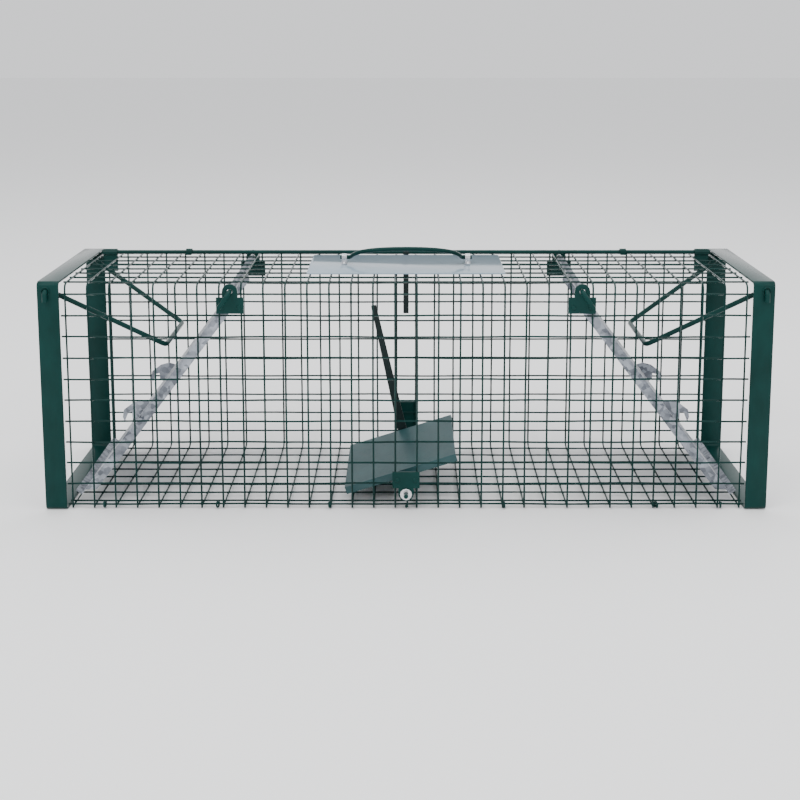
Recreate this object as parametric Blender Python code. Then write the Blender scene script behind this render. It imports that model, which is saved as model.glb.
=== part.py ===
"""Two-door live catch trap: wire mesh tunnel, strap end frames, sloping drop doors, lock bails and a treadle.

Metres, +Z up. The origin is on the floor under the middle of the trap. X runs along the tunnel,
and Y across it, with the hand-fastened floor seam on the -Y side.
"""

import math

import bmesh
import bpy
from mathutils import Matrix, Vector

MM = 0.001

# Driving dimensions
LENGTH = 850 * MM
WIDTH = 215 * MM
HEIGHT = 275 * MM
PITCH = 25.4 * MM
WIRE = 2.2 * MM
GAP = 0.3 * MM

# End frames, bent from flat strap
STRAP_WIDTH = 25 * MM
STRAP = 2.5 * MM
FRAME_CORNER = 6 * MM
FRAME_X = LENGTH / 2 - STRAP_WIDTH / 2

# Mesh panels: the frame of every second wire
MESH_LENGTH = LENGTH - 2 * STRAP_WIDTH - 2 * GAP
LATTICE = 2 * PITCH
SIDE_Y = WIDTH / 2 - STRAP - WIRE / 2
FLOOR_Z = STRAP + GAP + WIRE / 2
ROOF_Z = HEIGHT - STRAP - WIRE / 2
SIDE_LOW = FLOOR_Z + WIRE
SIDE_HIGH = ROOF_Z - WIRE
SIDE_ROWS = 5
FLAT_ROWS = 4
FIRST_POST = -14.5 * PITCH

# Doors, hinged under the roof and sloping outwards to the floor
DOOR_HINGE_X = 203 * MM
DOOR_HINGE_Z = 263.5 * MM
DOOR_SLOPE = math.radians(53.0)
DOOR_LENGTH = 309 * MM
DOOR_WIDTH = 184 * MM
SHEET = 1.0 * MM
HINGE_ROD = 2.8 * MM
KNUCKLE_GAP = 0.5 * MM
DOOR_LIP = 9 * MM
HOOK_ALONG = 190 * MM
HOOK_Y = 80 * MM
HOOK_HEIGHT = 19 * MM

# Brackets that carry the rods, riveted outside the side mesh
BRACKET = 2.0 * MM
BRACKET_WIDTH = 32 * MM
BRACKET_HEIGHT = 19 * MM
LOBE_RADIUS = 9 * MM
BRACKET_Y = WIDTH / 2 - STRAP + GAP + BRACKET / 2
CRANK = 21 * MM

# Lock bails, hinged in the end frames' posts
BAIL_ROD = 3.0 * MM
BAIL_Z = 264 * MM
BAIL_X = 415 * MM
BAIL_REACH = 148 * MM
BAIL_SLOPE = math.radians(31.5)
BAIL_Y = 98.5 * MM
BAIL_BAR = 52 * MM
BAIL_TAIL = 12 * MM

# Treadle
PIVOT_Z = 20 * MM
PIVOT_ROD = 3.0 * MM
PAN_TILT = math.radians(17.5)
PAN_LENGTH = 138 * MM
PAN_NEAR = -92 * MM
PAN_FAR = 53 * MM
PAN_ABOVE = 24 * MM
PAN_FLANGE = 9 * MM
LEVER_Y = 58.5 * MM
LEVER_LEAN = math.radians(12.6)
LEVER_LENGTH = 193 * MM
LEVER_WIDTH = 6.5 * MM
LEVER_THICK = 2.4 * MM

# Trip bar, lying in saddles on the roof
TRIP_Y = 63.5 * MM
TRIP_ROD = 2.5 * MM
TRIP_Z = HEIGHT + TRIP_ROD + GAP
TRIP_HALF = 392 * MM
FIN_X = 381 * MM
FIN_WIDTH = 18 * MM
FIN_DROP = 25 * MM
TRIP_LINK_DROP = 81 * MM
TRIP_LINK_WIDTH = 7 * MM
SADDLE_X = 279.4 * MM

# Carrying plate and handle
PLATE_LENGTH = 236 * MM
PLATE_NEAR = -66 * MM
PLATE_FAR = 50 * MM
PLATE = 1.2 * MM
PLATE_Z = HEIGHT + GAP + PLATE / 2
HANDLE_HALF = 68 * MM
HANDLE_Y = -4 * MM
HANDLE_RISE = 34 * MM
HANDLE_ROD = 2.6 * MM
HANDLE_Z = 284 * MM
HANDLE_REST = math.radians(62)

RING_RADIUS = 4.6 * MM
RING_WIRE = 0.9 * MM
RING_COUNT = 7

FINISHES = {
    "green_paint": ((0.012, 0.075, 0.062, 1), 0.35, 0.0),
    "green_wire": ((0.010, 0.055, 0.045, 1), 0.4, 0.0),
    "galvanised": ((0.62, 0.65, 0.70, 1), 0.35, 1.0),
    "zinc": ((0.75, 0.76, 0.78, 1), 0.25, 1.0),
    "pan_paint": ((0.045, 0.115, 0.115, 1), 0.4, 0.0),
    "black_steel": ((0.015, 0.03, 0.03, 1), 0.45, 0.3),
}


def finish(name):
    """The named finish as a material, made once."""
    found = bpy.data.materials.get(name)
    if found:
        return found
    colour, rough, metal = FINISHES[name]
    made = bpy.data.materials.new(name)
    made.use_nodes = True
    shader = made.node_tree.nodes["Principled BSDF"]
    shader.inputs["Base Color"].default_value = colour
    shader.inputs["Roughness"].default_value = rough
    shader.inputs["Metallic"].default_value = metal
    return made


def collection(name, hidden=False):
    """A scene collection, hidden from the render for cutters."""
    made = bpy.data.collections.new(name)
    bpy.context.scene.collection.children.link(made)
    made.hide_render = hidden
    return made


def place(obj, group, material=None):
    """Link an object to its collection and give it its finish."""
    group.objects.link(obj)
    if material:
        obj.data.materials.clear()
        obj.data.materials.append(finish(material))
    return obj


def mesh_object(name, shape, material, matrix=None):
    """Turn a bmesh into a node."""
    bmesh.ops.recalc_face_normals(shape, faces=shape.faces)
    data = bpy.data.meshes.new(name)
    shape.to_mesh(data)
    shape.free()
    obj = place(bpy.data.objects.new(name, data), PARTS, material)
    if matrix:
        obj.matrix_world = matrix
    return obj


def rod(name, points, radius, material, resolution=1):
    """A bent wire or rod through the given points, with closed ends."""
    data = bpy.data.curves.new(name, "CURVE")
    data.dimensions = "3D"
    data.bevel_depth = radius
    data.bevel_resolution = resolution
    data.use_fill_caps = True
    line = data.splines.new("POLY")
    line.points.add(len(points) - 1)
    for spot, point in zip(line.points, points):
        spot.co = (*point, 1)
    return place(bpy.data.objects.new(name, data), PARTS, material)


def outline(name, points, thickness, matrix, material, holes=()):
    """A flat sheet cut to an outline in its own XY, with round holes of (x, y, radius)."""
    data = bpy.data.curves.new(name, "CURVE")
    data.dimensions = "2D"
    data.fill_mode = "BOTH"
    data.extrude = thickness / 2
    rims = [points] + [ring(x, y, radius, 10) for x, y, radius in holes]
    for rim in rims:
        line = data.splines.new("POLY")
        line.points.add(len(rim) - 1)
        for spot, (x, y) in zip(line.points, rim):
            spot.co = (x, y, 0, 1)
        line.use_cyclic_u = True
    obj = place(bpy.data.objects.new(name, data), PARTS, material)
    obj.matrix_world = matrix
    return obj


def ring(x, y, radius, count, start=0.0, sweep=math.tau):
    """Points along an arc about (x, y); a full circle leaves out its repeated end."""
    steps = count if sweep == math.tau else count - 1
    return [
        (x + radius * math.cos(start + sweep * i / steps), y + radius * math.sin(start + sweep * i / steps))
        for i in range(count)
    ]


def frame_matrix(origin, x_axis, y_axis):
    """A matrix whose X and Y are the given directions."""
    z_axis = Vector(x_axis).cross(Vector(y_axis))
    turned = Matrix((x_axis, y_axis, z_axis)).transposed().to_4x4()
    return Matrix.Translation(origin) @ turned


def drill(obj, centre, radius, depth):
    """Cut a round hole along Y."""
    turn = Matrix.Rotation(math.pi / 2, 4, "X")
    shape = bmesh.new()
    bmesh.ops.create_cone(
        shape, cap_ends=True, segments=12, radius1=radius, radius2=radius, depth=depth,
        matrix=Matrix.Translation(centre) @ turn,
    )
    data = bpy.data.meshes.new("cutter")
    shape.to_mesh(data)
    shape.free()
    cutter = place(bpy.data.objects.new("cutter", data), CUTTERS)
    cutter.hide_render = True
    cutter.display_type = "WIRE"
    cut = obj.modifiers.new("hole", "BOOLEAN")
    cut.object = cutter
    cut.solver = "EXACT"


def lattice(name, columns, rows, origin, along, across, material="green_wire"):
    """A welded wire panel as one flat body: bars at the given places along and across it."""
    shape = bmesh.new()
    half = WIRE / 2
    xs = sorted(value for middle in columns for value in (middle - half, middle + half))
    ys = sorted(value for middle in rows for value in (middle - half, middle + half))
    grid = [[shape.verts.new((x, y, 0)) for x in xs] for y in ys]
    for j in range(len(ys) - 1):
        for i in range(len(xs) - 1):
            if i % 2 and j % 2:
                continue
            shape.faces.new((grid[j][i], grid[j][i + 1], grid[j + 1][i + 1], grid[j + 1][i]))
    faces = bmesh.ops.extrude_face_region(shape, geom=shape.faces[:])["geom"]
    bmesh.ops.translate(shape, vec=(0, 0, WIRE), verts=[v for v in faces if isinstance(v, bmesh.types.BMVert)])
    bmesh.ops.translate(shape, vec=(0, 0, -half), verts=shape.verts)
    return mesh_object(name, shape, material, frame_matrix(origin, along, across))


def mesh_panels():
    """The four walls of the tunnel, each a flat lattice."""
    half = MESH_LENGTH / 2 - WIRE / 2
    columns = [-half] + [FIRST_POST + LATTICE * i for i in range(15)] + [half]
    rows = [SIDE_LOW + WIRE / 2] + [FLOOR_Z + LATTICE * (i + 1) - PITCH for i in range(SIDE_ROWS)]
    rows.append(SIDE_HIGH - WIRE / 2)
    lattice("front_mesh", columns, rows, (0, -SIDE_Y, 0), (1, 0, 0), (0, 0, 1))
    lattice("rear_mesh", columns, rows, (0, SIDE_Y, 0), (1, 0, 0), (0, 0, 1))
    reach = SIDE_Y
    flat = [-reach] + [LATTICE * (i - 1) for i in range(3)] + [reach]
    lattice("roof_mesh", columns, flat, (0, 0, ROOF_Z), (1, 0, 0), (0, 1, 0))
    lattice("floor_mesh", columns, flat, (0, 0, FLOOR_Z), (1, 0, 0), (0, 1, 0))


def end_frame(name, side):
    """A closed rectangle of flat strap, with the bail's bearing holes in its posts."""
    outer = rounded_rectangle(WIDTH, HEIGHT, FRAME_CORNER)
    inner = rounded_rectangle(WIDTH - 2 * STRAP, HEIGHT - 2 * STRAP, FRAME_CORNER - STRAP)
    shape = bmesh.new()
    rims = []
    for rim in (outer, inner):
        rims.append([shape.verts.new((0, y, z + HEIGHT / 2)) for y, z in rim])
    count = len(outer)
    for i in range(count):
        j = (i + 1) % count
        shape.faces.new((rims[0][i], rims[0][j], rims[1][j], rims[1][i]))
    new = bmesh.ops.extrude_face_region(shape, geom=shape.faces[:])["geom"]
    bmesh.ops.translate(shape, vec=(STRAP_WIDTH, 0, 0), verts=[v for v in new if isinstance(v, bmesh.types.BMVert)])
    bmesh.ops.translate(shape, vec=(side * FRAME_X - STRAP_WIDTH / 2, 0, 0), verts=shape.verts)
    frame = mesh_object(name, shape, "green_paint")
    for wall in (-1, 1):
        drill(frame, (side * BAIL_X, wall * (WIDTH / 2 - STRAP / 2), BAIL_Z), BAIL_ROD + 2 * GAP, 4 * STRAP)
    return frame


def rounded_rectangle(width, height, radius):
    """Corner arcs of a rectangle centred on the origin."""
    points = []
    corners = ((1, 1, 0), (-1, 1, 1), (-1, -1, 2), (1, -1, 3))
    for sx, sy, quarter in corners:
        cx = sx * (width / 2 - radius)
        cy = sy * (height / 2 - radius)
        points += ring(cx, cy, radius, 4, quarter * math.pi / 2, math.pi / 2)
    return points


def bracket(name, x, rod_z, wall, up, tall):
    """A rod bracket: a riveted plate with a round lobe that holds the rod. up is 1 with the lobe on top."""
    neck = 7 * MM
    half = BRACKET_WIDTH / 2
    low = -neck - tall
    lobe = ring(0, 0, LOBE_RADIUS, 9, 0, math.pi)
    points = lobe + [(-LOBE_RADIUS, -neck), (-half, -neck), (-half, low), (half, low), (half, -neck), (LOBE_RADIUS, -neck)]
    points = [(px, up * py) for px, py in points]
    matrix = frame_matrix((x, wall * BRACKET_Y, rod_z), (1, 0, 0), (0, 0, 1))
    return outline(name, points, BRACKET, matrix, "green_paint", holes=((0, 0, HINGE_ROD + 2 * GAP),))


def door_direction(side):
    """Unit vectors down the closed door and out of its outer face."""
    down = Vector((side * math.cos(DOOR_SLOPE), 0, -math.sin(DOOR_SLOPE)))
    out = Vector((side * math.sin(DOOR_SLOPE), 0, math.cos(DOOR_SLOPE)))
    return down, out


def door(prefix, side):
    """A sheet door rolled round its hinge rod, with a turned lip at its foot and two side hooks."""
    hinge = Vector((side * DOOR_HINGE_X, 0, DOOR_HINGE_Z))
    down, out = door_direction(side)
    inside = HINGE_ROD + KNUCKLE_GAP
    outside = inside + SHEET
    roll = math.radians(250)
    outer_roll = ring(0, 0, outside, 9, -math.pi / 2, roll)
    inner_roll = ring(0, 0, inside, 9, -math.pi / 2 + roll, -roll)
    foot = [
        (DOOR_LENGTH, -inside),
        (DOOR_LENGTH, -inside + DOOR_LIP - SHEET),
        (DOOR_LENGTH + SHEET, -inside + DOOR_LIP - SHEET),
        (DOOR_LENGTH + SHEET, -outside),
    ]
    points = [(-px, py) for px, py in outer_roll + inner_roll] + foot
    matrix = frame_matrix(hinge, down, out)
    outline(f"{prefix}_door_sheet", points, DOOR_WIDTH, matrix, "galvanised")
    tip = WIDTH / 2 + 9 * MM
    bend = Vector((side * 0.55, 0, -0.83)).normalized() * CRANK
    rod(
        f"{prefix}_door_hinge_rod",
        [
            hinge + Vector((0, -tip, 0)) + bend,
            hinge + Vector((0, -tip, 0)),
            hinge + Vector((0, tip, 0)),
            hinge + Vector((0, tip, 0)) + bend,
        ],
        HINGE_ROD,
        "green_paint",
    )
    beak = [
        (-17 * MM, 0),
        (11 * MM, 0),
        (11 * MM, 5 * MM),
        (5 * MM, 10 * MM),
        (9 * MM, 13 * MM),
        (20 * MM, 10 * MM),
        (17 * MM, 15 * MM),
        (9 * MM, HOOK_HEIGHT),
        (-5 * MM, HOOK_HEIGHT - 4 * MM),
        (-14 * MM, 8 * MM),
    ]
    for place_name, wall in (("front", -1), ("rear", 1)):
        base = hinge + down * HOOK_ALONG + out * (GAP - inside) + Vector((0, wall * HOOK_Y, 0))
        outline(f"{prefix}_door_{place_name}_hook", beak, 1.6 * MM, frame_matrix(base, down, out), "galvanised")


def lock_bail(prefix, side):
    """A sprung-in wire bail: its ends pass out through the posts and turn down."""
    pivot = Vector((side * BAIL_X, 0, BAIL_Z))
    reach = Vector((-side * math.cos(BAIL_SLOPE), 0, -math.sin(BAIL_SLOPE))) * BAIL_REACH
    end = WIDTH / 2 + BAIL_ROD + 1.2 * MM
    half = [
        pivot + Vector((0, end, -BAIL_TAIL)),
        pivot + Vector((0, end, 0)),
        pivot + Vector((0, BAIL_Y, 0)),
        pivot + reach * 0.96 + Vector((0, BAIL_BAR + 6 * MM, 0)),
        pivot + reach + Vector((0, BAIL_BAR, 0)),
    ]
    points = half + [Vector((p.x, -p.y, p.z)) for p in reversed(half)]
    rod(f"{prefix}_lock_bail", points, BAIL_ROD, "green_paint")


def treadle():
    """The pan, the lever that holds the trip link, and the rod that carries both."""
    tip = WIDTH / 2 + 8 * MM
    rod("treadle_rod", [(0, -tip, PIVOT_Z), (0, tip, PIVOT_Z)], PIVOT_ROD - 0.3 * MM, "green_paint")
    shape = bmesh.new()
    depth = PAN_FAR - PAN_NEAR
    section = [
        (PAN_NEAR, -PAN_FLANGE), (PAN_NEAR, 0), (PAN_FAR, 0), (PAN_FAR, -PAN_FLANGE),
        (PAN_FAR - 1.2 * MM, -PAN_FLANGE), (PAN_FAR - 1.2 * MM, -1.2 * MM),
        (PAN_NEAR + 1.2 * MM, -1.2 * MM), (PAN_NEAR + 1.2 * MM, -PAN_FLANGE),
    ]
    rim = [shape.verts.new((-PAN_LENGTH / 2, y, z)) for y, z in section]
    face = shape.faces.new(rim)
    new = bmesh.ops.extrude_face_region(shape, geom=[face])["geom"]
    bmesh.ops.translate(shape, vec=(PAN_LENGTH, 0, 0), verts=[v for v in new if isinstance(v, bmesh.types.BMVert)])
    turn = Matrix.Translation((0, 0, PIVOT_Z)) @ Matrix.Rotation(-PAN_TILT, 4, "Y")
    mesh_object("treadle_pan", shape, "pan_paint", turn @ Matrix.Translation((0, 0, PAN_ABOVE)))
    middle = (PAN_NEAR + PAN_FAR) / 2
    saddle = [
        (-14 * MM, PAN_ABOVE - 1.2 * MM - GAP), (-14 * MM, PAN_ABOVE - 2.8 * MM), (-5.5 * MM, PAN_ABOVE - 2.8 * MM),
        (-5.5 * MM, 0), *ring(0, 0, 5.5 * MM, 7, math.pi, math.pi)[1:-1], (5.5 * MM, 0),
        (5.5 * MM, PAN_ABOVE - 2.8 * MM), (14 * MM, PAN_ABOVE - 2.8 * MM), (14 * MM, PAN_ABOVE - 1.2 * MM - GAP),
    ]
    for name, y in (("pan_saddle_front", middle - depth / 3), ("pan_saddle_rear", middle + depth / 3)):
        matrix = turn @ frame_matrix((0, y, 0), (1, 0, 0), (0, 0, 1))
        outline(name, saddle, 12 * MM, matrix, "green_paint", holes=((0, 0, PIVOT_ROD),))
    half = LEVER_WIDTH / 2
    boss = ring(0, 0, 7 * MM, 8, math.radians(150), math.radians(240))
    arm = boss + [(half, LEVER_LENGTH), (-half, LEVER_LENGTH)]
    lean = Matrix.Translation((0, LEVER_Y, PIVOT_Z)) @ Matrix.Rotation(-LEVER_LEAN, 4, "Y")
    matrix = lean @ frame_matrix((0, 0, 0), (1, 0, 0), (0, 0, 1))
    outline("treadle_lever", arm, LEVER_THICK, matrix, "black_steel", holes=((0, 0, PIVOT_ROD),))
    for name, wall in (("treadle_push_nut_front", -1), ("treadle_push_nut_rear", 1)):
        matrix = frame_matrix((0, wall * (BRACKET_Y + BRACKET), PIVOT_Z), (1, 0, 0), (0, 0, 1))
        outline(name, ring(0, 0, 7 * MM, 12), 1.2 * MM, matrix, "zinc", holes=((0, 0, PIVOT_ROD),))


def trip_bar():
    """The rod on the roof, the link that hangs to the lever, and a drop plate for each door."""
    rod("trip_bar", [(-TRIP_HALF, TRIP_Y, TRIP_Z), (TRIP_HALF, TRIP_Y, TRIP_Z)], TRIP_ROD, "green_paint")
    hanging = (
        ("trip_link", 0, TRIP_LINK_WIDTH, TRIP_LINK_DROP, "black_steel"),
        ("left_drop_plate", -FIN_X, FIN_WIDTH, FIN_DROP, "green_paint"),
        ("right_drop_plate", FIN_X, FIN_WIDTH, FIN_DROP, "green_paint"),
    )
    eye = TRIP_ROD + GAP
    for name, x, width, drop, material in hanging:
        points = [(-0.8 * MM, -drop), (0.8 * MM, -drop), (0.8 * MM, -4 * MM)]
        points += ring(0, 0, 4.2 * MM, 9, math.radians(-75), math.radians(330))
        points += [(-0.8 * MM, -4.4 * MM)]
        matrix = frame_matrix((x, TRIP_Y, TRIP_Z), (0, 1, 0), (0, 0, 1))
        outline(name, points, width, matrix, material, holes=((0, 0, eye),))
    for name, x in (("left_bar_saddle", -SADDLE_X), ("right_bar_saddle", SADDLE_X)):
        arch = [(-9 * MM, -TRIP_ROD), (-9 * MM, -TRIP_ROD + 1.2 * MM), (-4.4 * MM, -TRIP_ROD + 1.2 * MM)]
        arch += ring(0, 0, 4.4 * MM, 7, math.pi, -math.pi)
        arch += [(4.4 * MM, -TRIP_ROD + 1.2 * MM), (9 * MM, -TRIP_ROD + 1.2 * MM), (9 * MM, -TRIP_ROD)]
        arch += [(3.1 * MM, -TRIP_ROD)] + ring(0, 0, 3.1 * MM, 7, 0, math.pi) + [(-3.1 * MM, -TRIP_ROD)]
        matrix = frame_matrix((x, TRIP_Y, TRIP_Z), (0, 1, 0), (0, 0, 1))
        outline(name, arch, 8 * MM, matrix, "green_paint")


def carrying_plate():
    """The stiffening plate on the roof, with its wire handle and the two clips that hold it."""
    size = Matrix.Diagonal((PLATE_LENGTH, PLATE_FAR - PLATE_NEAR, PLATE, 1))
    shape = bmesh.new()
    middle = Matrix.Translation((0, (PLATE_NEAR + PLATE_FAR) / 2, PLATE_Z))
    bmesh.ops.create_cube(shape, size=1, matrix=middle @ size)
    mesh_object("carrying_plate", shape, "pan_paint")
    rise = Vector((0, -math.sin(HANDLE_REST), math.cos(HANDLE_REST))) * HANDLE_RISE
    pivot = Vector((0, HANDLE_Y, HANDLE_Z))
    end = HANDLE_HALF + 13 * MM
    bow = [(0.0, 1.0), (0.3, 0.98), (0.6, 0.86), (0.85, 0.6), (0.97, 0.25)]
    half = [pivot + Vector((HANDLE_HALF * u, 0, 0)) + rise * v for u, v in bow] + [
        pivot + Vector((HANDLE_HALF, 0, 0)),
        pivot + Vector((end, 0, 0)),
    ]
    left = [Vector((-p.x, p.y, p.z)) for p in reversed(half[1:])]
    rod("handle", left + half, HANDLE_ROD, "green_paint")
    base = PLATE_Z + PLATE / 2 + GAP - HANDLE_Z
    wall = 4.6 * MM
    hole = HANDLE_ROD + 0.4 * MM
    clip = [(-11 * MM, base), (-11 * MM, base + 1.4 * MM), (-wall, base + 1.4 * MM)]
    clip += ring(0, 0, wall, 7, math.pi, -math.pi)
    clip += [(wall, base + 1.4 * MM), (11 * MM, base + 1.4 * MM), (11 * MM, base), (hole, base)]
    clip += ring(0, 0, hole, 7, 0, math.pi) + [(-hole, base)]
    for name, x in (("left_handle_clip", -1), ("right_handle_clip", 1)):
        matrix = frame_matrix((x * (HANDLE_HALF + 8 * MM), HANDLE_Y, HANDLE_Z), (0, 1, 0), (0, 0, 1))
        outline(name, clip, 6 * MM, matrix, "zinc")


def seam_rings():
    """Crimped rings that close the floor seam along the front."""
    span = LENGTH - 2 * STRAP_WIDTH - 2 * PITCH
    for index in range(RING_COUNT):
        x = span * (index / (RING_COUNT - 1) - 0.5) + 3 * MM
        shape = bmesh.new()
        start = Vector((RING_RADIUS, 0, 0))
        bmesh.ops.create_circle(
            shape, segments=5, radius=RING_WIRE,
            matrix=Matrix.Translation(start) @ Matrix.Rotation(math.pi / 2, 4, "X"),
        )
        bmesh.ops.spin(
            shape, geom=shape.verts[:] + shape.edges[:], cent=(0, 0, 0), axis=(0, 0, 1),
            angle=math.tau, steps=10, use_merge=True, use_duplicate=False,
        )
        bmesh.ops.remove_doubles(shape, verts=shape.verts, dist=1e-6)
        centre = (x, -SIDE_Y + 0.2 * MM, FLOOR_Z + WIRE)
        turn = Matrix.Translation(centre) @ Matrix.Rotation(math.pi / 2, 4, "Y")
        mesh_object(f"seam_ring_{index + 1}", shape, "green_paint", turn)


for old in list(bpy.data.objects):
    bpy.data.objects.remove(old, do_unlink=True)
PARTS = collection("live_catch_trap")
CUTTERS = collection("cutters", hidden=True)

mesh_panels()
for prefix, side in (("left", -1), ("right", 1)):
    end_frame(f"{prefix}_end_frame", side)
    door(prefix, side)
    lock_bail(prefix, side)
    for place_name, wall in (("front", -1), ("rear", 1)):
        bracket(f"{prefix}_{place_name}_hinge_bracket", side * DOOR_HINGE_X, DOOR_HINGE_Z, wall, 1, BRACKET_HEIGHT)
bracket("treadle_front_bracket", 0, PIVOT_Z, -1, -1, 20 * MM)
bracket("treadle_rear_bracket", 0, PIVOT_Z, 1, -1, 37 * MM)
treadle()
trip_bar()
carrying_plate()
seam_rings()
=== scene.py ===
"""Finished look of a two-door live catch trap: wire tunnel, strap end frames, doors, bails and treadle."""

from __future__ import annotations

import logging
import math
from collections.abc import Callable, Sequence
from dataclasses import dataclass, field
from enum import Enum

import bmesh
import bpy
from mathutils import Matrix, Vector


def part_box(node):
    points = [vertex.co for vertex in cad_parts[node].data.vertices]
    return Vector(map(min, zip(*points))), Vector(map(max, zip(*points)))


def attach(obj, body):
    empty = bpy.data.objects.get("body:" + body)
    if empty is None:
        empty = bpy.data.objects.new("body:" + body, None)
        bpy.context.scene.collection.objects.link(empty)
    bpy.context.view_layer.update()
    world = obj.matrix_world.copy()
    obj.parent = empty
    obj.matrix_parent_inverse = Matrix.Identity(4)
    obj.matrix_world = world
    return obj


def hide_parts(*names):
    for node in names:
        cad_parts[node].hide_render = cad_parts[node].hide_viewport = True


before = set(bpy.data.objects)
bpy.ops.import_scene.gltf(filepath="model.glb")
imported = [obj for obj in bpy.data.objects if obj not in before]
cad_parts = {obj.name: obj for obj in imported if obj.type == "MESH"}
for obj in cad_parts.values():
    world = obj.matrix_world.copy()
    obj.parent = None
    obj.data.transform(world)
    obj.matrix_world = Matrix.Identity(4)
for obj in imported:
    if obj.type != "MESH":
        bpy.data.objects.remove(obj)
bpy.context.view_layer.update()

Tree = bpy.types.NodeTree
Socket = bpy.types.NodeSocket
Shape = bmesh.types.BMesh
Adder = Callable[[Shape], None]
Triple = tuple[float, float, float]

LOG = logging.getLogger("trap")
MM = 0.001
SMOOTH_BELOW = math.radians(35)
SHARP_ABOVE = math.radians(60)
SAME_PLACE = 1e-6


class Side(Enum):
    """The trap's two ends, by the sign of X."""

    LEFT = -1
    RIGHT = 1

    @property
    def prefix(self) -> str:
        """The start of this end's node and body names."""
        return self.name.lower()


class Slot(Enum):
    """The record's material slots."""

    PAINT = "green_paint"
    WIRE = "green_wire"
    GALVANISED = "galvanised"
    ZINC = "zinc"
    PAN = "pan_paint"
    BLACK = "black_steel"


# ---------------------------------------------------------------- node groups


def new_group(name: str, inputs: dict[str, object], outputs: Sequence[str]) -> Tree:
    """Start a shader node group with named sockets.

    Args:
        name: The group's name.
        inputs: Each input's name and its default, a colour of four numbers or one number.
        outputs: The outputs' names; Colour is a colour and the rest are numbers.

    Returns:
        The group, holding its input and output nodes.
    """
    tree = bpy.data.node_groups.new(name, "ShaderNodeTree")
    for label, value in inputs.items():
        kind = "NodeSocketColor" if isinstance(value, tuple) else "NodeSocketFloat"
        tree.interface.new_socket(label, in_out="INPUT", socket_type=kind).default_value = value
    for label in outputs:
        kind = "NodeSocketColor" if label == "Colour" else "NodeSocketFloat"
        tree.interface.new_socket(label, in_out="OUTPUT", socket_type=kind)
    tree.nodes.new("NodeGroupInput").name = "in"
    tree.nodes.new("NodeGroupOutput").name = "out"
    return tree


def noise(tree: Tree, scale: float, detail: float, stretch: Triple) -> Socket:
    """Add noise on Object coordinates.

    Args:
        tree: The tree that the noise goes in.
        scale: The noise's scale, per metre.
        detail: Its number of octaves.
        stretch: How much each axis is multiplied by first.

    Returns:
        The noise's value socket.
    """
    coordinates = tree.nodes.new("ShaderNodeTexCoord")
    mapping = tree.nodes.new("ShaderNodeMapping")
    mapping.inputs["Scale"].default_value = stretch
    made = tree.nodes.new("ShaderNodeTexNoise")
    made.inputs["Scale"].default_value = scale
    made.inputs["Detail"].default_value = detail
    tree.links.new(coordinates.outputs["Object"], mapping.inputs["Vector"])
    tree.links.new(mapping.outputs["Vector"], made.inputs["Vector"])
    return made.outputs["Fac"]


def ranged(tree: Tree, value: Socket, span: tuple[float, float, float, float]) -> Socket:
    """Map a value from one range to another, clamped.

    Args:
        tree: The tree.
        value: The socket read.
        span: From low, from high, to low, to high.

    Returns:
        The mapped socket.
    """
    node = tree.nodes.new("ShaderNodeMapRange")
    for socket, number in zip(("From Min", "From Max", "To Min", "To Max"), span):
        node.inputs[socket].default_value = number
    tree.links.new(value, node.inputs["Value"])
    return node.outputs["Result"]


def maths(tree: Tree, operation: str, first: Socket | float, second: Socket | float) -> Socket:
    """Join two values, each a socket or a number.

    Args:
        tree: The tree.
        operation: The Math node's operation.
        first: The first value.
        second: The second value.

    Returns:
        The result's socket.
    """
    node = tree.nodes.new("ShaderNodeMath")
    node.operation = operation
    for socket, value in zip(node.inputs, (first, second)):
        if isinstance(value, (int, float)):
            socket.default_value = value
        else:
            tree.links.new(value, socket)
    return node.outputs[0]


def blended(tree: Tree, mask: Socket, first: Socket | float, second: Socket | float) -> Socket:
    """Mix two colours by a mask.

    Args:
        tree: The tree.
        mask: The mask's socket.
        first: The colour where the mask is 0.
        second: The colour where the mask is 1.

    Returns:
        The mixed colour's socket.
    """
    node = tree.nodes.new("ShaderNodeMix")
    node.data_type = "RGBA"
    tree.links.new(mask, node.inputs["Factor"])
    colour_inputs = [socket for socket in node.inputs if socket.type == "RGBA"]
    for socket, value in zip(colour_inputs, (first, second)):
        tree.links.new(value, socket)
    return next(socket for socket in node.outputs if socket.type == "RGBA")


def paint_group() -> Tree:
    """The skin of sprayed or dipped paint: slow shading, orange peel, drips and fine scuffs.

    Returns:
        The group, with Colour, Roughness and Height outputs.
    """
    inputs = {"Colour": (0.01, 0.06, 0.05, 1.0), "Shade": (0.02, 0.1, 0.09, 1.0), "Rough": 0.3, "Scuff": 0.1}
    tree = new_group("paint_skin", inputs, ("Colour", "Roughness", "Height"))
    given, out = tree.nodes["in"].outputs, tree.nodes["out"].inputs
    slow = noise(tree, 14.0, 3.0, (1.0, 1.0, 1.0))
    peel = noise(tree, 900.0, 2.0, (1.0, 1.0, 1.0))
    drips = noise(tree, 90.0, 3.0, (1.0, 1.0, 0.35))
    scratches = noise(tree, 160.0, 5.0, (1.0, 6.0, 2.0))
    scuffed = ranged(tree, scratches, (0.60, 0.72, 0.0, 1.0))
    mottle = maths(tree, "ADD", slow, maths(tree, "MULTIPLY", drips, 0.5))
    tone = ranged(tree, mottle, (0.5, 1.0, 0.0, 1.0))
    tree.links.new(blended(tree, tone, given["Colour"], given["Shade"]), out["Colour"])
    worn = maths(tree, "MULTIPLY", scuffed, given["Scuff"])
    rough = maths(tree, "ADD", maths(tree, "ADD", given["Rough"], worn), maths(tree, "MULTIPLY", drips, 0.12))
    tree.links.new(rough, out["Roughness"])
    tree.links.new(maths(tree, "ADD", maths(tree, "MULTIPLY", peel, 0.35), drips), out["Height"])
    return tree


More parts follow.
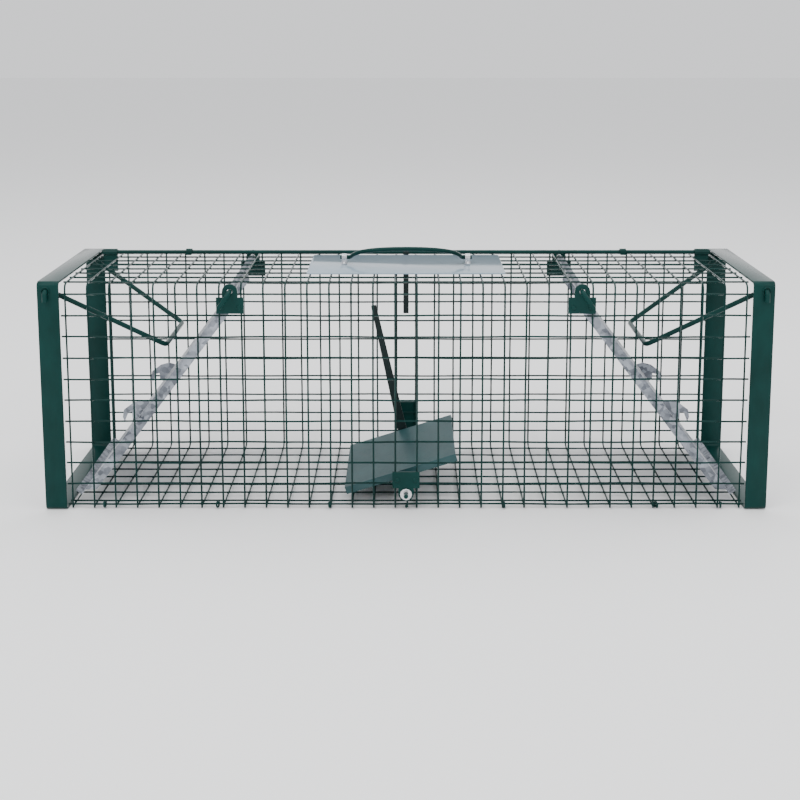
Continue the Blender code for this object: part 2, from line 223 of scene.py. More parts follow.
def spangle_group() -> Tree:
    """Hot-dip zinc: crystals of different greys, faint streaks and cloudy patches.

    Returns:
        The group, with Colour, Roughness and Height outputs.
    """
    inputs = {"Colour": (0.5, 0.53, 0.58, 1.0), "Shade": (0.8, 0.82, 0.86, 1.0), "Rough": 0.3, "Size": 130.0}
    tree = new_group("zinc_spangle", inputs, ("Colour", "Roughness", "Height"))
    given, out = tree.nodes["in"].outputs, tree.nodes["out"].inputs
    coordinates = tree.nodes.new("ShaderNodeTexCoord")
    crystals = tree.nodes.new("ShaderNodeTexVoronoi")
    crystals.inputs["Randomness"].default_value = 1.0
    tree.links.new(coordinates.outputs["Object"], crystals.inputs["Vector"])
    tree.links.new(given["Size"], crystals.inputs["Scale"])
    split = tree.nodes.new("ShaderNodeSeparateColor")
    tree.links.new(crystals.outputs["Color"], split.inputs["Color"])
    streaks = noise(tree, 60.0, 4.0, (0.25, 3.0, 0.25))
    cloud = noise(tree, 20.0, 3.0, (1.0, 1.0, 1.0))
    crystal_share = maths(tree, "MULTIPLY", split.outputs["Red"], 0.5)
    total = maths(tree, "ADD", crystal_share, maths(tree, "MULTIPLY", streaks, 0.9))
    clouded = maths(tree, "ADD", total, maths(tree, "MULTIPLY", cloud, 0.4))
    tone = ranged(tree, clouded, (0.55, 1.25, 0.0, 1.0))
    tree.links.new(blended(tree, tone, given["Colour"], given["Shade"]), out["Colour"])
    rough = maths(tree, "ADD", given["Rough"], maths(tree, "MULTIPLY", split.outputs["Green"], 0.18))
    tree.links.new(rough, out["Roughness"])
    tree.links.new(maths(tree, "ADD", split.outputs["Blue"], streaks), out["Height"])
    return tree


@dataclass(frozen=True)
class Finish:
    """One finish. detail is the scuffs' strength, or on zinc the crystals' scale."""

    name: str
    slot: Slot
    colour: Triple
    shade: Triple
    rough: float
    metallic: float = 0.0
    sheen: bool = False
    bump: float = 0.15
    depth: float = 0.0002
    specular: float = 0.3
    spangled: bool = False
    detail: float = 0.15

    def material(self) -> bpy.types.Material:
        """The material, built the first time it is asked for."""
        found = bpy.data.materials.get(self.name)
        if found:
            return found
        made = bpy.data.materials.new(self.name)
        made.use_nodes = True
        tree = made.node_tree
        shader = tree.nodes["Principled BSDF"]
        label = "zinc_spangle" if self.spangled else "paint_skin"
        skin = tree.nodes.new("ShaderNodeGroup")
        skin.node_tree = bpy.data.node_groups[label]
        skin.inputs["Colour"].default_value = (*self.colour, 1.0)
        skin.inputs["Shade"].default_value = (*self.shade, 1.0)
        skin.inputs["Rough"].default_value = self.rough
        skin.inputs["Size" if self.spangled else "Scuff"].default_value = self.detail
        bump = tree.nodes.new("ShaderNodeBump")
        bump.inputs["Strength"].default_value = self.bump
        bump.inputs["Distance"].default_value = self.depth
        tree.links.new(skin.outputs["Colour"], shader.inputs["Base Color"])
        tree.links.new(skin.outputs["Roughness"], shader.inputs["Roughness"])
        tree.links.new(skin.outputs["Height"], bump.inputs["Height"])
        tree.links.new(bump.outputs["Normal"], shader.inputs["Normal"])
        shader.inputs["Metallic"].default_value = self.metallic
        shader.inputs["Specular IOR Level"].default_value = self.specular
        if self.sheen:
            gloss = tree.nodes.new("ShaderNodeLayerWeight")
            gloss.inputs["Blend"].default_value = 0.5
            grazing = ranged(tree, gloss.outputs["Facing"], (0.5, 0.85, 0.0, 1.0))
            tree.links.new(grazing, shader.inputs["Coat Weight"])
        shader.inputs["Coat Roughness"].default_value = 0.12
        return made


FRAME_PAINT = Finish(
    "sprayed_green", Slot.PAINT, (0.0012, 0.022, 0.019), (0.003, 0.036, 0.032), 0.36,
    sheen=True, specular=0.12,
)
WIRE_PAINT = Finish(
    "dipped_green_wire", Slot.WIRE, (0.0008, 0.015, 0.013), (0.003, 0.030, 0.027), 0.36,
    sheen=True, bump=0.3, specular=0.12,
)
PAN_PAINT = Finish("treadle_green", Slot.PAN, (0.014, 0.050, 0.054), (0.030, 0.085, 0.090), 0.34)
PLATE_PAINT = Finish(
    "carrying_plate_grey", Slot.PAN, (0.19, 0.27, 0.33), (0.27, 0.35, 0.42), 0.32, sheen=True,
)
SHEET_ZINC = Finish(
    "galvanised_sheet", Slot.GALVANISED, (0.09, 0.10, 0.12), (0.40, 0.43, 0.48), 0.30,
    metallic=0.8, bump=0.25, depth=0.0003, spangled=True, detail=190.0,
)
BRIGHT_ZINC = Finish(
    "bright_zinc", Slot.ZINC, (0.45, 0.47, 0.50), (0.80, 0.81, 0.82), 0.18,
    metallic=1.0, depth=0.0001, spangled=True, detail=700.0,
)
DARK_STEEL = Finish(
    "blackened_steel", Slot.BLACK, (0.004, 0.012, 0.012), (0.010, 0.022, 0.022), 0.38,
    metallic=0.3, bump=0.3, detail=0.25,
)


# ---------------------------------------------------------------- mesh helpers


def finished(name: str, mesh: Shape, finish: Finish, body: str) -> bpy.types.Object:
    """Turn a bmesh into a piece that rides on a body.

    Args:
        name: The piece's name.
        mesh: Its shape, which is freed.
        finish: Its finish.
        body: The CAD body it rides on.

    Returns:
        The piece.
    """
    bmesh.ops.recalc_face_normals(mesh, faces=mesh.faces)
    for face in mesh.faces:
        face.smooth = True
    for edge in mesh.edges:
        edge.smooth = len(edge.link_faces) == 2 and edge.calc_face_angle(0.0) < SMOOTH_BELOW
    data = bpy.data.meshes.new(name)
    mesh.to_mesh(data)
    mesh.free()
    data.materials.append(finish.material())
    piece = bpy.data.objects.new(name, data)
    bpy.context.scene.collection.objects.link(piece)
    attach(piece, body)
    LOG.info("%s: %d faces on %s", name, len(data.polygons), body)
    return piece


def repaint(names: Sequence[str], finish: Finish) -> None:
    """Give CAD nodes that stay showing their finish.

    Args:
        names: The nodes' names.
        finish: The finish.
    """
    for name in names:
        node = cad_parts[name]
        if not node.material_slots:
            node.data.materials.append(finish.material())
        for place in node.material_slots:
            place.material = finish.material()


def turn_to(direction: Vector) -> Matrix:
    """The turn that takes +Z to a direction."""
    return Vector((0, 0, 1)).rotation_difference(direction).to_matrix().to_4x4()


def new_verts(grown: Sequence[object]) -> list[bmesh.types.BMVert]:
    """The vertices among what an extrusion made."""
    return [item for item in grown if isinstance(item, bmesh.types.BMVert)]


def sweep(mesh: Shape, path: Sequence[Vector], radius: float, sides: int) -> None:
    """Draw a round wire along a path by extruding a circle from point to point.

    Args:
        mesh: The mesh that the wire is added to.
        path: The wire's centre points.
        radius: Its radius.
        sides: How many sides it has.
    """
    heading = (path[1] - path[0]).normalized()
    place = Matrix.Translation(path[0]) @ turn_to(heading)
    loop = bmesh.ops.create_circle(mesh, cap_ends=True, segments=sides, radius=radius, matrix=place)["verts"]
    edges = list({edge for vert in loop for edge in vert.link_edges})
    for index in range(1, len(path)):
        before = (path[index] - path[index - 1]).normalized()
        after = path[min(index + 1, len(path) - 1)] - path[index]
        ahead = (before + (after.normalized() if after.length else before)).normalized()
        grown = bmesh.ops.extrude_edge_only(mesh, edges=edges)["geom"]
        loop = new_verts(grown)
        ring = set(loop)
        edges = [e for e in grown if isinstance(e, bmesh.types.BMEdge) and set(e.verts) <= ring]
        turn = heading.rotation_difference(ahead).to_matrix().to_4x4()
        move = Matrix.Translation(path[index]) @ turn @ Matrix.Translation(-path[index - 1])
        bmesh.ops.transform(mesh, matrix=move, verts=loop)
        heading = ahead
    bmesh.ops.edgeloop_fill(mesh, edges=edges)


def gathered(shapes: Sequence[Adder]) -> Shape:
    """Make each shape in a bmesh of its own and bring them together, which keeps large pieces quick.

    Args:
        shapes: Functions that each add one shape to the bmesh given.

    Returns:
        One bmesh with all of them.
    """
    whole = bmesh.new()
    for shape in shapes:
        part = bmesh.new()
        shape(part)
        data = bpy.data.meshes.new("part")
        part.to_mesh(data)
        part.free()
        whole.from_mesh(data)
        bpy.data.meshes.remove(data)
    return whole


def filleted(points: Sequence[Vector], radius: float, steps: int = 6) -> list[Vector]:
    """Round the corners of a line of points.

    Args:
        points: The corners.
        radius: The bend's distance from each corner to where the straight begins.
        steps: The number of points in each bend.

    Returns:
        The path with its bends.
    """
    path = [points[0].copy()]
    for before, corner, after in zip(points, points[1:], points[2:]):
        reach = min(radius, (before - corner).length * 0.49, (after - corner).length * 0.49)
        start = corner + (before - corner).normalized() * reach
        end = corner + (after - corner).normalized() * reach
        for step in range(steps + 1):
            share = step / steps
            path.append(start.lerp(corner, share).lerp(corner.lerp(end, share), share))
    path.append(points[-1].copy())
    return path


def wire(points: Sequence[Vector], radius: float, bend: float, sides: int = 12) -> Shape:
    """One bent rod as a bmesh.

    Args:
        points: The rod's corners.
        radius: The rod's radius.
        bend: How far from each corner its bend starts.
        sides: How many sides it has.

    Returns:
        The bmesh.
    """
    mesh = bmesh.new()
    sweep(mesh, filleted(points, bend), radius, sides)
    return mesh


def eased(mesh: Shape, edges: Sequence[bmesh.types.BMEdge], offset: float, segments: int = 2) -> None:
    """Round off edges.

    Args:
        mesh: The mesh.
        edges: The edges.
        offset: How far the rounding starts from each edge.
        segments: How many faces it has across.
    """
    bmesh.ops.bevel(
        mesh, geom=list(edges), offset=offset, affect="EDGES", segments=segments, profile=0.5, material=-1,
    )


def dome(mesh: Shape, centre: Vector, radius: float, height: float, axis: Vector) -> None:
    """Add a rivet or boss: a sphere squashed along the way it points.

    Args:
        mesh: The mesh it is added to.
        centre: Where its middle sits.
        radius: Its radius.
        height: How far it stands up.
        axis: The way it points.
    """
    place = Matrix.Translation(centre) @ turn_to(axis) @ Matrix.Diagonal((radius, radius, height, 1))
    bmesh.ops.create_uvsphere(mesh, u_segments=12, v_segments=8, radius=1.0, matrix=place)


# ---------------------------------------------------------------- sub-assemblies


@dataclass
class Tunnel:
    """The wire tunnel: hoops bent round it, lengthwise wires inside them, and a weld at each crossing."""

    pitch: float = 25.4 * MM
    wire: float = 1.1 * MM
    half_length: float = 399.5 * MM
    wall_y: float = 103.9 * MM
    roof_z: float = 272.2 * MM
    floor_z: float = 3.9 * MM
    corner: float = 9 * MM
    inset: float = 1.7 * MM
    wave: float = 0.35 * MM
    weld: float = 1.55 * MM
    bow: float = 0.5 * MM
    stub: float = 4.8 * MM
    floor_start: float = 2.6 * MM
    hoops: int = 32
    row_points: int = 48
    front_rows: Sequence[float] = tuple((5.9 + 25.36 * k) * MM for k in range(11))
    rear_rows: Sequence[float] = tuple((25.0 + 25.4 * k) * MM for k in range(10))
    roof_rows: Sequence[float] = tuple((-86.5 + 25.4 * k) * MM for k in range(8))
    floor_rows: Sequence[float] = tuple((86.5 - 25.4 * k) * MM for k in range(8))

    def hoop_x(self, index: int) -> float:
        """Where a hoop stands."""
        return (index - (self.hoops - 1) / 2) * self.pitch

    def sway(self, index: int, x: float) -> float:
        """How far a lengthwise wire strays at a place along it."""
        return self.wave * (math.sin(x * 23.0 + index * 2.1) + 0.5 * math.sin(x * 61.0 + index * 4.7))

    def rows(self) -> list[tuple[int, Vector, Vector, float]]:
        """Every lengthwise wire.

        Returns:
            Its number, its place at the middle of the trap, the way it strays, and how much it strays.
        """
        wall = self.wall_y - self.inset
        rows = [(Vector((0, -wall, z)), Vector((0, 0, 1)), 1.0) for z in self.front_rows[:-1]]
        rows += [(Vector((0, -wall, self.front_rows[-1])), Vector((0, 0, 1)), 0.0)]
        rows += [(Vector((0, wall, z)), Vector((0, 0, 1)), 0.6) for z in self.rear_rows]
        rows += [(Vector((0, y, self.roof_z - self.inset)), Vector((0, 1, 0)), 0.4) for y in self.roof_rows]
        rows += [(Vector((0, y, self.floor_z + self.inset)), Vector((0, 1, 0)), 1.0) for y in self.floor_rows]
        return [(index, *row) for index, row in enumerate(rows)]

    def hoop(self, index: int) -> Adder:
        """A function that adds one hoop, up the front, over the roof, down the rear and along the floor."""
        x = self.hoop_x(index)
        lean = self.bow * math.sin(index * 1.7)
        low = self.floor_z + self.inset + self.wire
        corners = [
            Vector((x, -self.wall_y, low - self.stub)),
            Vector((x + lean, -self.wall_y, self.roof_z * 0.5)),
            Vector((x, -self.wall_y, self.roof_z)),
            Vector((x - lean, 0, self.roof_z)),
            Vector((x, self.wall_y, self.roof_z)),
            Vector((x + lean, self.wall_y, self.roof_z * 0.5)),
            Vector((x, self.wall_y, self.floor_z)),
            Vector((x - lean, 0, self.floor_z)),
            Vector((x, -self.wall_y + self.floor_start, self.floor_z)),
        ]
        return lambda mesh: sweep(mesh, filleted(corners, self.corner, 4), self.wire, 8)

    def row(self, index: int, middle: Vector, stray: Vector, share: float) -> Adder:
        """A function that adds one lengthwise wire."""
        count = self.row_points
        places = [self.half_length * (2 * step / count - 1) for step in range(count + 1)]
        path = [middle + Vector((x, 0, 0)) + stray * (share * self.sway(index, x)) for x in places]
        return lambda mesh: sweep(mesh, path, self.wire, 8)

    def welds(self, index: int, middle: Vector, stray: Vector, share: float) -> Adder:
        """A function that adds the welds along one lengthwise wire."""
        outward = Vector((0, stray.z, stray.y)) * self.inset / 2
        if middle.dot(outward) < 0 or (stray.y and middle.z < self.roof_z / 2):
            outward = -outward

        def add(mesh: Shape) -> None:
            """Add them to the mesh."""
            for hoop in range(self.hoops):
                x = self.hoop_x(hoop)
                centre = middle + outward + Vector((x, 0, 0)) + stray * (share * self.sway(index, x))
                place = Matrix.Translation(centre)
                bmesh.ops.create_icosphere(mesh, subdivisions=1, radius=self.weld, matrix=place)

        return add

    def build(self) -> None:
        """Build the tunnel in place of the CAD lattices."""
        hoop_mesh = gathered([self.hoop(i) for i in range(self.hoops)])
        hoops = finished("tunnel_hoops", hoop_mesh, WIRE_PAINT, "cage")
        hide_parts("front_mesh", "rear_mesh", "roof_mesh", "floor_mesh")
        finished("tunnel_long_wires", gathered([self.row(*r) for r in self.rows()]), WIRE_PAINT, "cage")
        finished("tunnel_welds", gathered([self.welds(*r) for r in self.rows()]), WIRE_PAINT, "cage")


@dataclass
class SeamRings:
    """Crimped rings that close the tunnel's seam along the front bottom edge."""

    places: Sequence[float] = tuple(x * MM for x in (-358.0, -224.0, -92.0, 0.0, 115.0, 295.0, 371.0))
    radius: float = 3.1 * MM
    wire: float = 1.1 * MM
    y: float = -102.2 * MM
    z: float = 5.0 * MM
    turns: float = 1.12
    spread: float = 1.9 * MM
    steps: int = 28

    def ring(self, index: int) -> Adder:
        """A function that adds one ring, overlapped at its ends as the pliers leave it."""
        lean = 0.25 * math.sin(index * 2.3)
        centre = Vector((self.places[index] + 1.2 * MM, self.y, self.z))
        path = []
        for step in range(self.steps + 1):
            angle = math.tau * self.turns * step / self.steps + index
            drift = (step / self.steps - 0.5) * self.spread
            across, up = self.radius * math.cos(angle), self.radius * math.sin(angle)
            path.append(centre + Vector((drift + lean * across, across, up)))
        return lambda mesh: sweep(mesh, path, self.wire, 8)

    def build(self) -> None:
        """Build the rings in place of the CAD ones."""
        count = len(self.places)
        rings = finished("seam_clips", gathered([self.ring(i) for i in range(count)]), FRAME_PAINT, "cage")
        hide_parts(*[f"seam_ring_{i + 1}" for i in range(count)])


@dataclass
class EndFrame:
    """One end frame of flat strap, bent to a closed rectangle, with an eyelet for the bail in each post."""

    side: Side
    width: float = 215 * MM
    height: float = 275 * MM
    strap: float = 2.5 * MM
    strap_width: float = 25 * MM
    corner: float = 6 * MM
    middle_x: float = 412.5 * MM
    eyelet_x: float = 415 * MM
    eyelet_z: float = 264 * MM
    eyelet: float = 4.6 * MM

    def build(self) -> None:
        """Build the strap and its eyelets."""
        mesh = bmesh.new()
        size = Matrix.Diagonal((self.width, self.height, 1, 1))
        bmesh.ops.create_grid(mesh, x_segments=1, y_segments=1, size=0.5, matrix=size)
        bmesh.ops.bevel(
            mesh, geom=mesh.verts[:], offset=self.corner, offset_type="OFFSET", affect="VERTICES",
            segments=6, profile=0.5, material=-1,
        )
        bmesh.ops.inset_region(
            mesh, faces=mesh.faces[:], thickness=self.strap, use_boundary=True, use_even_offset=True,
        )
        middle = max(mesh.faces, key=lambda face: face.calc_area())
        bmesh.ops.delete(mesh, geom=[middle], context="FACES_ONLY")
        grown = bmesh.ops.extrude_face_region(mesh, geom=mesh.faces[:])["geom"]
        bmesh.ops.translate(mesh, vec=(0, 0, self.strap_width), verts=new_verts(grown))
        sharp = [e for e in mesh.edges if len(e.link_faces) == 2 and e.calc_face_angle(0.0) > SHARP_ABOVE]
        eased(mesh, sharp, 0.5 * MM)
        turn = Matrix(((0, 0, 1, 0), (1, 0, 0, 0), (0, 1, 0, 0), (0, 0, 0, 1)))
        start = Vector((self.side.value * self.middle_x - self.strap_width / 2, 0, self.height / 2))
        bmesh.ops.transform(mesh, matrix=Matrix.Translation(start) @ turn, verts=mesh.verts)
        strap = finished(f"{self.side.prefix}_strap_frame", mesh, FRAME_PAINT, "cage")
        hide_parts(f"{self.side.prefix}_end_frame")
        self.eyelets()

    def eyelets(self) -> None:
        """Build the turned eyelets that the bail's ends pass through."""
        mesh = bmesh.new()
        for wall in (-1, 1):
            face = wall * (self.width / 2 + 0.5 * MM)
            centre = Vector((self.side.value * self.eyelet_x, face, self.eyelet_z))
            angles = [math.tau * i / 24 for i in range(25)]
            path = [centre + self.eyelet * Vector((math.cos(a), 0, math.sin(a))) for a in angles]
            sweep(mesh, path, 0.9 * MM, 8)
        finished(f"{self.side.prefix}_bail_eyelets", mesh, FRAME_PAINT, "cage")


@dataclass
class RodBrackets:
    """Rivets of the six brackets that carry the rods; the plates are the CAD ones."""

    hinge_x: float = 203 * MM
    hinge_z: float = 263.5 * MM
    treadle_z: float = 20 * MM
    face_y: float = 107.3 * MM
    spread: float = 10 * MM
    rivet: float = 3.2 * MM
    rivet_height: float = 1.6 * MM
    hinge_drop: float = 19 * MM
    front_rise: float = 17 * MM
    rear_rise: float = 30 * MM
    nodes: Sequence[str] = field(
        default_factory=lambda: [f"{s.prefix}_{w}_hinge_bracket" for s in Side for w in ("front", "rear")]
        + ["treadle_front_bracket", "treadle_rear_bracket"]
    )

    def build(self) -> None:
        """Paint the plates and add their rivets."""
        repaint(self.nodes, FRAME_PAINT)
        mesh = bmesh.new()
        low = self.hinge_z - self.hinge_drop
        spots = [(side.value * self.hinge_x, wall, low) for side in Side for wall in (-1, 1)]
        spots += [(0.0, -1, self.treadle_z + self.front_rise), (0.0, 1, self.treadle_z + self.rear_rise)]
        for x, wall, z in spots:
            for offset in (-self.spread, self.spread):
                place = Vector((x + offset, wall * self.face_y, z))
                dome(mesh, place, self.rivet, self.rivet_height, Vector((0, wall, 0)))
        finished("bracket_rivets", mesh, FRAME_PAINT, "cage")


@dataclass
class Door:
    """One sheet door, rolled round its cranked hinge rod, with turned sides, a turned lip and side hooks."""

    side: Side
    hinge_x: float = 203 * MM
    hinge_z: float = 263.5 * MM
    slope: float = math.radians(53)
    length: float = 309 * MM
    width: float = 184 * MM
    sheet: float = 1.0 * MM
    rod: float = 2.8 * MM
    inside: float = 3.3 * MM
    lip: float = 8 * MM
    flange: float = 11 * MM
    rod_tip: float = 116.5 * MM
    crank: float = 21 * MM

    def build(self) -> None:
        """Build the sheet and the rod, and finish the hooks."""
        prefix = self.side.prefix
        body = f"{prefix}_door"
        hinge = Vector((self.side.value * self.hinge_x, 0, self.hinge_z))
        tip = Vector((0, self.rod_tip, 0))
        drop = Vector((self.side.value * 0.55, 0, -0.83)).normalized() * self.crank
        points = [hinge - tip + drop, hinge - tip, hinge + tip, hinge + tip + drop]
        rod = finished(f"{prefix}_hinge_wire", wire(points, self.rod, 8 * MM), FRAME_PAINT, body)
        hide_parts(f"{prefix}_door_hinge_rod")
        sheet = finished(f"{prefix}_door_plate", self.plate(hinge), SHEET_ZINC, body)
        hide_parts(f"{prefix}_door_sheet")
        repaint([f"{prefix}_door_front_hook", f"{prefix}_door_rear_hook"], SHEET_ZINC)

    def plate(self, hinge: Vector) -> Shape:
        """The sheet: a spun roll, the flat, and the lip, thickened, with turned sides whose edges are eased.

        Args:
            hinge: The hinge rod's middle.

        Returns:
            The bmesh.
        """
        mesh = bmesh.new()
        middle = self.inside
        half = self.width / 2
        ends = [mesh.verts.new((0, y, -middle)) for y in (-half, half)]
        edge = mesh.edges.new(ends)
        bmesh.ops.spin(
            mesh, geom=[*ends, edge], cent=(0, 0, 0), axis=(0, 1, 0), angle=math.radians(250), steps=20,
            use_merge=False, use_duplicate=False,
        )
        current = min(mesh.edges, key=lambda e: sum(abs(v.co.x) + v.co.z for v in e.verts))
        fold = (self.length + self.sheet / 2, -middle + self.lip)
        for along, out in ((self.length * 0.5, -middle), (self.length, -middle), fold):
            grown = bmesh.ops.extrude_edge_only(mesh, edges=[current])["geom"]
            verts = new_verts(grown)
            edges = [e for e in grown if isinstance(e, bmesh.types.BMEdge)]
            current = next(e for e in edges if set(e.verts) == set(verts))
            for vert in verts:
                vert.co.x, vert.co.z = along, out
        bmesh.ops.remove_doubles(mesh, verts=mesh.verts, dist=SAME_PLACE)
        bmesh.ops.recalc_face_normals(mesh, faces=mesh.faces)
        flat = max(mesh.faces, key=lambda face: face.calc_area())
        if flat.normal.z > 0:
            bmesh.ops.reverse_faces(mesh, faces=mesh.faces[:])
        bmesh.ops.solidify(mesh, geom=mesh.faces[:], thickness=-self.sheet)
        self.flanges(mesh)
        down = Vector((self.side.value * math.cos(self.slope), 0, -math.sin(self.slope)))
        out_way = Vector((self.side.value * math.sin(self.slope), 0, math.cos(self.slope)))
        across = out_way.cross(down)
        turn = Matrix((down, across, out_way)).transposed().to_4x4()
        bmesh.ops.transform(mesh, matrix=Matrix.Translation(hinge) @ turn, verts=mesh.verts)
        return mesh


    def flanges(self, mesh: Shape) -> None:
        """Turn the sheet's two long edges in, to stiffen it.

        Args:
            mesh: The sheet, still lying along X.
        """
        start, end = 16 * MM, self.length - 6 * MM
        top = 0.4 * MM - self.inside - self.sheet
        for wall in (-1, 1):
            centre = Vector(((start + end) / 2, wall * (self.width - self.sheet) / 2, top - self.flange / 2))
            size = Matrix.Diagonal((end - start, self.sheet, self.flange, 1))
            fold = bmesh.ops.create_cube(mesh, size=1, matrix=Matrix.Translation(centre) @ size)["verts"]
            for vert in fold:
                if vert.co.z < centre.z:
                    vert.co.x += 9 * MM if vert.co.x < centre.x else -9 * MM
            edges = list({e for v in fold for e in v.link_edges})
            eased(mesh, edges, 0.3 * MM)


@dataclass
class LockBail:
    """One wire bail that drops behind its door and locks it."""

    side: Side
    pivot_x: float = 415 * MM
    pivot_z: float = 264 * MM
    rod: float = 3.0 * MM
    reach: float = 148 * MM
    slope: float = math.radians(31.5)
    arm_y: float = 98.5 * MM
    bar_y: float = 52 * MM
    end_y: float = 111.7 * MM
    tail: float = 12 * MM

    def build(self) -> None:
        """Build the bail in place of the CAD one."""
        pivot = Vector((self.side.value * self.pivot_x, 0, self.pivot_z))
        reach = Vector((-self.side.value * math.cos(self.slope), 0, -math.sin(self.slope))) * self.reach
        half = [
            pivot + Vector((0, self.end_y, -self.tail)),
            pivot + Vector((0, self.end_y, 0)),
            pivot + Vector((0, self.arm_y, 0)),
            pivot + reach + Vector((0, self.bar_y + 2 * MM, 0)),
        ]
        points = half + [Vector((p.x, -p.y, p.z)) for p in reversed(half)]
        prefix = self.side.prefix
        bail = finished(f"{prefix}_bail_wire", wire(points, self.rod, 7 * MM), FRAME_PAINT, f"{prefix}_bail")
        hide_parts(f"{prefix}_lock_bail")


@dataclass
class Treadle:
    """The pan, its saddles, the lever and the rod that carries them."""

    pivot_z: float = 20 * MM
    rod: float = 2.7 * MM
    rod_tip: float = 115.5 * MM

    def build(self) -> None:
        """Build the rod and finish the plates."""
        points = [Vector((0, y, self.pivot_z)) for y in (-self.rod_tip, 0.0, self.rod_tip)]
        rod = finished("treadle_spindle", wire(points, self.rod, 5 * MM, 16), FRAME_PAINT, "treadle")
        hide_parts("treadle_rod")
        repaint(["treadle_pan"], PAN_PAINT)
        repaint(["pan_saddle_front", "pan_saddle_rear"], FRAME_PAINT)
        repaint(["treadle_lever"], DARK_STEEL)
        repaint(["treadle_push_nut_front", "treadle_push_nut_rear"], BRIGHT_ZINC)


@dataclass
class TripGear:
    """The trip bar on the roof, with its link, drop plates and saddles."""

    y: float = 63.5 * MM
    z: float = 277.8 * MM
    half: float = 392 * MM
    rod: float = 2.5 * MM

    def build(self) -> None:
        """Build the bar and finish what hangs on it."""
        points = [Vector((x, self.y, self.z)) for x in (-self.half, 0.0, self.half)]
        bar = finished("trip_rod", wire(points, self.rod, 5 * MM), FRAME_PAINT, "trip")
        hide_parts("trip_bar")
        repaint(["trip_link"], DARK_STEEL)
        repaint(["left_drop_plate", "right_drop_plate", "left_bar_saddle", "right_bar_saddle"], FRAME_PAINT)


@dataclass
class Carrier:
    """The plate on the roof with its wire handle and clips."""

    half: float = 68 * MM
    y: float = -4 * MM
    z: float = 284 * MM
    rise: float = 34 * MM
    rest: float = math.radians(62)
    rod: float = 2.6 * MM

    def build(self) -> None:
        """Build the plate and handle and finish the clips."""
        low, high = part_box("carrying_plate")
        size, middle = high - low, (low + high) / 2
        mesh = bmesh.new()
        bmesh.ops.create_cube(mesh, size=1, matrix=Matrix.Translation(middle) @ Matrix.Diagonal((*size, 1)))
        upright = [e for e in mesh.edges if abs((e.verts[0].co - e.verts[1].co).normalized().z) > 0.9]
        eased(mesh, upright, 4 * MM, 5)
        sharp = [e for e in mesh.edges if e.calc_face_angle(0.0) > SHARP_ABOVE]
        eased(mesh, sharp, 0.3 * MM)
        plate = finished("roof_plate", mesh, PLATE_PAINT, "cage")
        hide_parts("carrying_plate")
        self.handle()
        repaint(["left_handle_clip", "right_handle_clip"], BRIGHT_ZINC)
        rivets = bmesh.new()
        for side in Side:
            for offset in (-8.6 * MM, 8.6 * MM):
                spot = Vector((side.value * (self.half + 8 * MM), self.y + offset, high.z + 1.7 * MM))
                dome(rivets, spot, 2.0 * MM, 1.1 * MM, Vector((0, 0, 1)))
        finished("clip_rivets", rivets, BRIGHT_ZINC, "cage")

    def handle(self) -> None:
        """Build the bowed handle in place of the CAD one."""
        rise = Vector((0, -math.sin(self.rest), math.cos(self.rest))) * self.rise
        pivot = Vector((0, self.y, self.z))
        bow = [(0.0, 1.0), (0.3, 0.98), (0.6, 0.86), (0.85, 0.6), (0.97, 0.25), (1.0, 0.0)]
        right = [pivot + Vector((self.half * u, 0, 0)) + rise * v for u, v in bow]
        right.append(pivot + Vector((self.half + 13 * MM, 0, 0)))
        left = [Vector((-p.x, p.y, p.z)) for p in reversed(right[1:])]
        handle = finished("handle_bow", wire(left + right, self.rod, 9 * MM), FRAME_PAINT, "handle")
        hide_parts("handle")


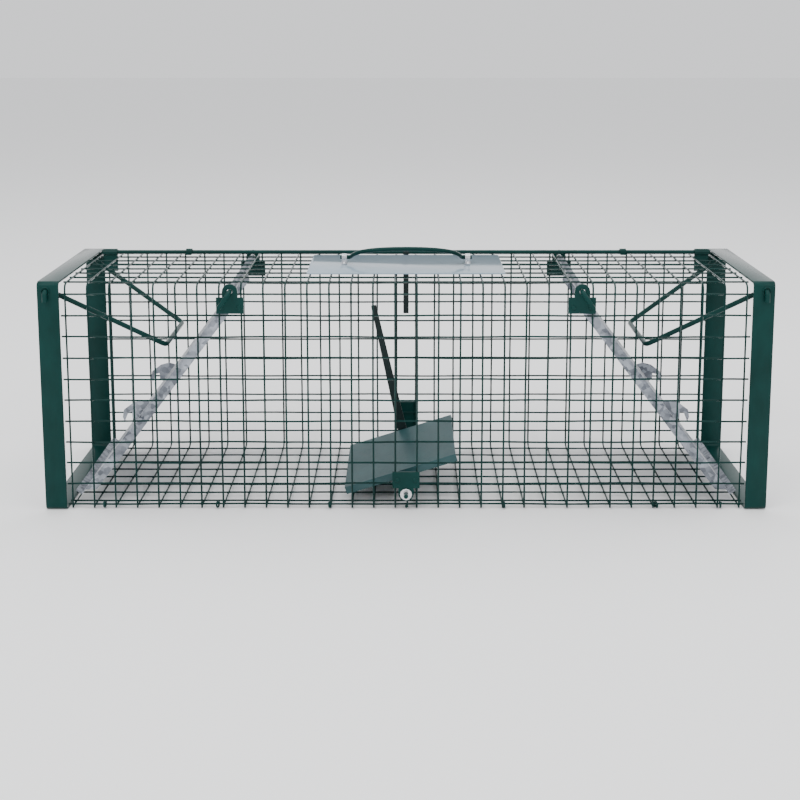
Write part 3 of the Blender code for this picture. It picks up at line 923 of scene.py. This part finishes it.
@dataclass
class Studio:
    """A pale floor, soft light and the camera."""

    eye: Triple = (0.0, -1.451, 0.565)
    pitch: float = math.radians(82)
    lens: float = 53.7
    shift: tuple[float, float] = (-0.0075, -0.2565)

    def build(self) -> None:
        """Set the floor, the lights and the camera."""
        mesh = bmesh.new()
        bmesh.ops.create_grid(mesh, x_segments=1, y_segments=1, size=12)
        data = bpy.data.meshes.new("studio_floor")
        mesh.to_mesh(data)
        mesh.free()
        paper = bpy.data.materials.new("studio_paper")
        paper.use_nodes = True
        paper.node_tree.nodes["Principled BSDF"].inputs["Base Color"].default_value = (0.92, 0.92, 0.92, 1)
        paper.node_tree.nodes["Principled BSDF"].inputs["Roughness"].default_value = 0.8
        data.materials.append(paper)
        floor = bpy.data.objects.new("studio_floor", data)
        bpy.context.scene.collection.objects.link(floor)
        self.lamp("key", (-1.2, -1.6, 2.2), 38, 1.6)
        self.lamp("fill", (1.5, -1.4, 1.6), 22, 1.8)
        self.lamp("top", (0.0, 0.6, 2.4), 34, 2.2)
        world = bpy.data.worlds.new("studio_air")
        world.use_nodes = True
        air = world.node_tree.nodes["Background"]
        air.inputs["Color"].default_value = (0.97, 0.98, 1.0, 1)
        air.inputs["Strength"].default_value = 1.1
        bpy.context.scene.world = world
        self.camera()

    def lamp(self, name: str, place: Triple, power: float, size: float) -> None:
        """Add one soft square light aimed at the trap.

        Args:
            name: Its name.
            place: Where it hangs.
            power: Its power in watts.
            size: Its side in metres.
        """
        data = bpy.data.lights.new(name, "AREA")
        data.energy = power
        data.size = size
        lamp = bpy.data.objects.new(name, data)
        lamp.location = place
        lamp.rotation_euler = (Vector((0, 0, 0.15)) - Vector(place)).to_track_quat("-Z", "Y").to_euler()
        bpy.context.scene.collection.objects.link(lamp)

    def camera(self) -> None:
        """Place the camera."""
        data = bpy.data.cameras.new("studio_camera")
        data.lens = self.lens
        data.sensor_width = 36
        data.shift_x, data.shift_y = self.shift
        camera = bpy.data.objects.new("studio_camera", data)
        camera.location = self.eye
        camera.rotation_euler = (self.pitch, 0, 0)
        bpy.context.scene.collection.objects.link(camera)
        bpy.context.scene.camera = camera


def main() -> None:
    """Build every sub-assembly in order."""
    logging.basicConfig(level=logging.INFO, format="%(message)s")
    paint_group()
    spangle_group()
    Tunnel().build()
    SeamRings().build()
    RodBrackets().build()
    for side in Side:
        EndFrame(side).build()
        Door(side).build()
        LockBail(side).build()
    Treadle().build()
    TripGear().build()
    Carrier().build()
    Studio().build()
    bpy.context.view_layer.update()


if __name__ == "__main__":
    main()
